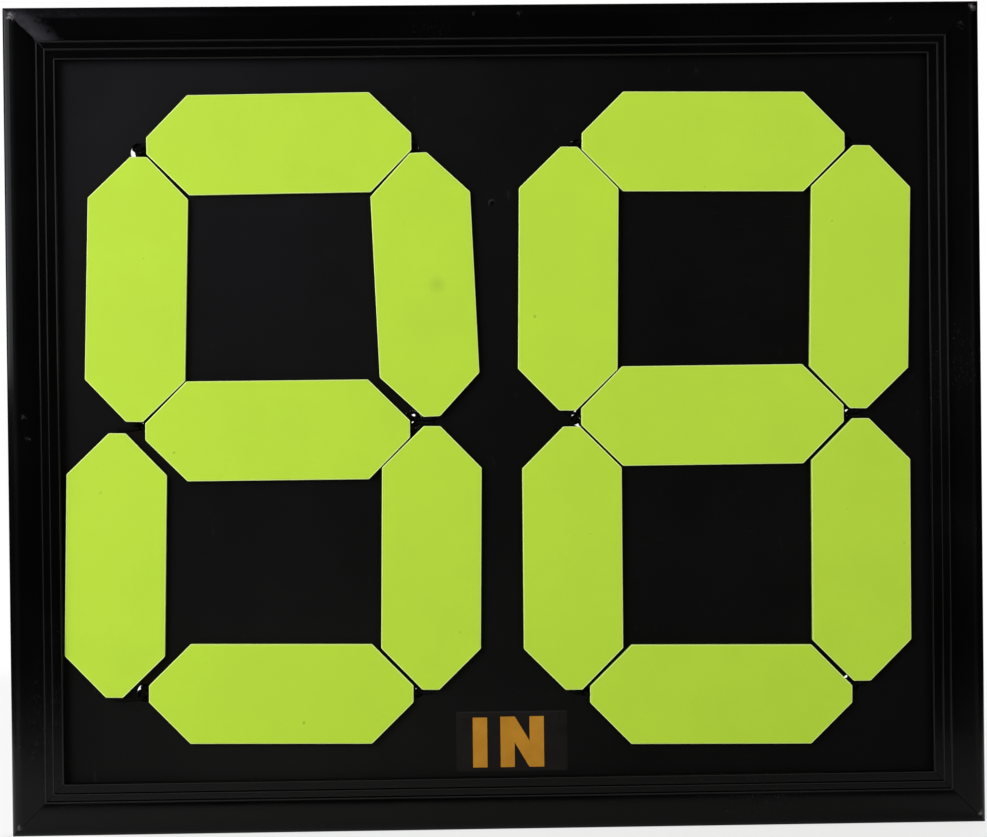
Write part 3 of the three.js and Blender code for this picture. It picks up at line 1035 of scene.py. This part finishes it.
def in_hole(hole, x, z, level):
    """A place in a hole, moved to where the elastic is clear of the hole's openings."""
    for across, up, reach in OPENINGS.get(hole, ()):
        gap = Vector((across, up)) * HOLE_RADIUS
        clear = reach * HOLE_RADIUS + CORD_RADIUS
        away = Vector((x, z)) - gap
        inward = -gap.normalized()
        if math.hypot(across, up) + reach > OPEN_TO_WALL:
            beside = away - inward * away.dot(inward)
            if beside.length < clear:
                far = math.sqrt(clear**2 - beside.length**2)
                away = beside + inward * max(far, away.dot(inward))
        elif away.length < clear:
            away = away.normalized() * clear
        x, z = gap + away
    held = min(1, (HOLE_RADIUS - WALL_SHARE * CORD_RADIUS) / max(math.hypot(x, z), MM))
    middle_x, middle_z = hole_middle(hole)
    return Vector((middle_x + x * held, PANEL_MIDDLE + level, middle_z + z * held))


def knot(hole, turn):
    """A loose overhand knot that lies flat in the front of its hole."""
    # The curve's far points lie three sizes from its middle
    size = (HOLE_RADIUS - CORD_RADIUS) / 3
    points = []
    for i in range(KNOT_STEPS + KNOT_OVERLAP):
        angle = 2 * math.pi * i / KNOT_STEPS
        far_x = size * (math.sin(angle) + 2 * math.sin(2 * angle))
        far_z = size * (math.cos(angle) - 2 * math.cos(2 * angle))
        x = far_x * math.cos(turn) - far_z * math.sin(turn)
        z = far_x * math.sin(turn) + far_z * math.cos(turn)
        points.append(in_hole(hole, x, z, KNOT_LEVEL - KNOT_WAVE * math.sin(3 * angle)))
    return points


def coil(hole):
    """The elastic's spare length, wound flat behind the knot."""
    points = []
    for i in range(COIL_STEPS + 1):
        turns = COIL_TURNS * i / COIL_STEPS
        reach = HOLE_RADIUS - CORD_RADIUS - max(0, turns - 1) * COIL_PITCH * CORD_RADIUS
        angle = 2 * math.pi * turns
        x, z = reach * math.cos(angle), reach * math.sin(angle)
        points.append(in_hole(hole, x, z, COIL_LEVEL))
    return points


def laced_cord(side):
    """One digit's elastic: the spare in its holes, and its legs from front tip to back."""
    bm = bmesh.new()
    own = [end for end in ends if end.hole[0] == side]
    for i, hole in enumerate(sorted({end.hole for end in own})):
        for course in (knot(hole, i * KNOT_TURN), coil(hole)):
            add_tube(bm, spaced(rounded(course, 2), SPARE_STEP))
    for end in own:
        course = rounded([*end.descent(-1), end.bundled, end.descent(1)[-1]])
        add_tube(bm, spaced(course, LACED_STEP))
    piece = piece_from(bm, side + "_laced_elastic", ["cord"], 60)
    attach(piece, "board")
    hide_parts(side + "_laced_cord")


def bore_stub(end):
    """The short length that comes out of a front plate's bore."""
    bm = bmesh.new()
    outer = end.tip + end.outward * BORE_EXIT
    inner = end.tip - end.outward * BORE_REACH
    add_tube(bm, spaced([outer, inner], BORE_STEP))
    word = "end" if end.sign > 0 else "start"
    piece = piece_from(bm, f"{end.name}_elastic_{word}", ["cord"], 60)
    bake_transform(piece)
    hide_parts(end.name + "_cord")


def rear_elastic(name):
    """The elastic of a rear plate, from the holes up to its bore at both ends."""
    bm = bmesh.new()
    for end in ends:
        if end.name != name:
            continue
        course = end.descent(1)
        inner = course[0] - end.outward * BORE_REACH
        add_tube(bm, spaced(rounded([*reversed(course), inner]), BORE_STEP))
    piece = piece_from(bm, f"rear_{name}_elastic", ["cord"], 60)
    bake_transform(piece)


for side in ("left", "right"):
    laced_cord(side)
for end in ends:
    bore_stub(end)
for name in CORD_SHARES:
    rear_elastic(name)


# The IN sticker

STICKER_LOW = (-29.4 * MM, 38.2 * MM)
STICKER_HIGH = (45.0 * MM, 78.2 * MM)
STICKER_THICKNESS = 0.15 * MM
STICKER_CORNER = 1.2 * MM
STICKER_GAP = 0.01 * MM
INK_THICKNESS = 0.05 * MM

# The outlines of the two letters, across and up in millimetres
LETTERS = [
    [(-18.3, 40.8), (-8.7, 40.8), (-8.7, 74.2), (-18.3, 74.2)],
    [
        (0.2, 40.8),
        (9.6, 40.8),
        (9.6, 57.4),
        (19.4, 40.8),
        (29.3, 40.8),
        (29.3, 74.6),
        (19.7, 74.6),
        (19.7, 58.1),
        (9.9, 74.6),
        (0.2, 74.6),
    ],
]


def sticker():
    """The film, with its corners rounded, and the raised ink of its letters."""
    bm = bmesh.new()
    (left, low), (right, high) = STICKER_LOW, STICKER_HIGH
    back = PANEL_FRONT - STICKER_GAP
    corners = [(left, back, low), (right, back, low), (right, back, high), (left, back, high)]
    draw_out(bm, corners, (0, -STICKER_THICKNESS, 0))
    upright = []
    for edge in bm.edges:
        one, other = edge.verts
        if abs(one.co.y - other.co.y) > STICKER_THICKNESS / 2:
            upright.append(edge)
    bmesh.ops.bevel(
        bm,
        geom=upright,
        offset=STICKER_CORNER,
        segments=4,
        profile=0.5,
        affect="EDGES",
        material=-1,
    )
    film = piece_from(bm, "in_sticker", ["film"])
    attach(film, "board")
    bm = bmesh.new()
    for outline in LETTERS:
        corners = [(x * MM, back - STICKER_THICKNESS, z * MM) for x, z in outline]
        draw_out(bm, corners, (0, -INK_THICKNESS, 0))
    letters = piece_from(bm, "in_letters", ["ink"])
    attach(letters, "board")


sticker()


# Stage, light and camera

# The floor, which is darker round one place, and fades into the white of the background
FLOOR_SIZE = 20
FLOOR_GREY = (0.86, 0.86, 0.86)
FLOOR_PALE = (0.88, 0.88, 0.88)
SHADE_GREY = (0.40, 0.40, 0.40)
SHADE_PLACE = (0.45, -0.32, 0)
SHADE_REACH = 0.8
FADE_REACH = 2.4

FLAG_BLACK = (0.001, 0.001, 0.001)
FLAG_SIZE = (1.64, 1.52, 2.0)
FLAG_MIDDLE = (-0.02, 0.26, 0.95)

WHITE = (1, 1, 1)
SKY_STRENGTH = 0.42


def stage_mesh(bm, name, material):
    """A finished mesh that belongs to the set, not to the board."""
    mesh = bpy.data.meshes.new(name)
    bm.to_mesh(mesh)
    bm.free()
    made = bpy.data.objects.new(name, mesh)
    bpy.context.scene.collection.objects.link(made)
    mesh.materials.append(material)
    return made


def seen_directly(tree):
    """1 on what the camera sees, straight or in a reflection, and 0 on what gives light."""
    path = add_node(tree, "ShaderNodeLightPath")
    rays = ("Is Camera Ray", "Is Glossy Ray", "Is Transmission Ray")
    return strongest(tree, [path.outputs[name] for name in rays])


def mixed_shader(tree, share, first, second):
    inputs = {0: share, 1: first.outputs[0], 2: second.outputs[0]}
    return add_node(tree, "ShaderNodeMixShader", inputs).outputs[0]


def floor():
    """A pale floor that runs out into the white background away from the board."""
    material, tree, surface = new_material("pale_floor")
    place = object_place(tree)
    cloud = noise(tree, place, scale=3, detail=2)
    shade = near(tree, place, SHADE_PLACE, SHADE_REACH)
    colour = mixed(tree, spread(tree, cloud), FLOOR_GREY, FLOOR_PALE)
    look = {
        "Base Color": mixed(tree, shade, colour, SHADE_GREY),
        "Roughness": 0.9,
        "Specular IOR Level": 0,
    }
    connect(tree, surface, look)
    away = graded(tree, near(tree, place, (0, 0, 0), FADE_REACH), 0.72, 0.42)
    away = product(tree, away, graded(tree, shade, 0, 1, 1, 0.3))
    eye = add_node(tree, "ShaderNodeLightPath").outputs["Is Camera Ray"]
    close = product(tree, eye, 0.75)
    shown = strongest(tree, [product(tree, away, seen_directly(tree)), close])
    white = add_node(tree, "ShaderNodeEmission", {"Color": (*WHITE, 1), "Strength": 1})
    output = tree.nodes["Material Output"]
    connect(tree, output, {"Surface": mixed_shader(tree, shown, surface, white)})
    bm = bmesh.new()
    bmesh.ops.create_grid(bm, x_segments=1, y_segments=1, size=FLOOR_SIZE)
    stage_mesh(bm, "floor", material)


def black_flags():
    """Black boards round the set. Only reflections see them, so gloss black stays black."""
    material, tree, surface = new_material("black_flag")
    connect(tree, surface, {"Base Color": (*FLAG_BLACK, 1), "Specular IOR Level": 0})
    bm = bmesh.new()
    walls = bmesh.ops.create_cube(bm, size=1)["verts"]
    bmesh.ops.scale(bm, verts=walls, vec=FLAG_SIZE)
    bmesh.ops.translate(bm, verts=walls, vec=FLAG_MIDDLE)
    below = [face for face in bm.faces if face.normal.z < -0.5]
    bmesh.ops.delete(bm, geom=below, context="FACES")
    flags = stage_mesh(bm, "black_flags", material)
    for kind in ("camera", "diffuse", "transmission", "volume_scatter", "shadow"):
        setattr(flags, "visible_" + kind, False)


def softbox(name, place, aim, size, power, colour=WHITE):
    """A flat lamp that the camera can't see, with its power in watts."""
    data = bpy.data.lights.new(name, "AREA")
    data.shape = "RECTANGLE"
    data.size, data.size_y = size
    data.energy = power
    data.color = colour
    lamp = bpy.data.objects.new(name, data)
    bpy.context.scene.collection.objects.link(lamp)
    lamp.location = place
    lamp.rotation_euler = (Vector(aim) - Vector(place)).to_track_quat("-Z", "Y").to_euler()
    lamp.visible_camera = False
    return lamp


def sky():
    """A soft even light, with a white background behind it."""
    world = bpy.data.worlds.new("studio")
    bpy.context.scene.world = world
    world.use_nodes = True
    tree = world.node_tree
    tree.nodes.clear()
    light, shown = (
        add_node(tree, "ShaderNodeBackground", {"Color": (*WHITE, 1), "Strength": strength})
        for strength in (SKY_STRENGTH, 1)
    )
    either = mixed_shader(tree, seen_directly(tree), light, shown)
    add_node(tree, "ShaderNodeOutputWorld", {"Surface": either})


floor()
black_flags()
sky()
softbox(
    "window",
    place=(-0.80, -0.12, 0.475),
    aim=(0, -0.12, 0.475),
    size=(0.72, 0.34),
    power=1.3,
    colour=(0.90, 0.93, 1.0),
)
sheen = softbox(
    "sheen",
    place=(-0.72, -0.52, 0.82),
    aim=(-0.1, 0, 0.45),
    size=(0.3, 0.3),
    power=0.8,
)
sheen.visible_diffuse = False
softbox("key", place=(-1.5, -2.0, 1.05), aim=(0, 0, 0.2), size=(1.2, 1.2), power=33)
softbox("fill", place=(1.4, -2.3, 0.3), aim=(0, 0, 0.1), size=(1.2, 1.2), power=11)
softbox("rear", place=(0.9, 2.2, 1.7), aim=(0, 0, 0.25), size=(1.4, 1.4), power=34)

camera = bpy.data.cameras.new("camera")
camera.lens = CAMERA_LENS
camera.sensor_width = SENSOR_WIDTH
camera.clip_start, camera.clip_end = CLIP_START, CLIP_END
viewpoint = bpy.data.objects.new("camera", camera)
bpy.context.scene.collection.objects.link(viewpoint)
viewpoint.location = CAMERA_PLACE
viewpoint.rotation_euler = [math.radians(angle) for angle in CAMERA_TURN]
bpy.context.scene.camera = viewpoint
bpy.context.scene.view_settings.view_transform = "Standard"
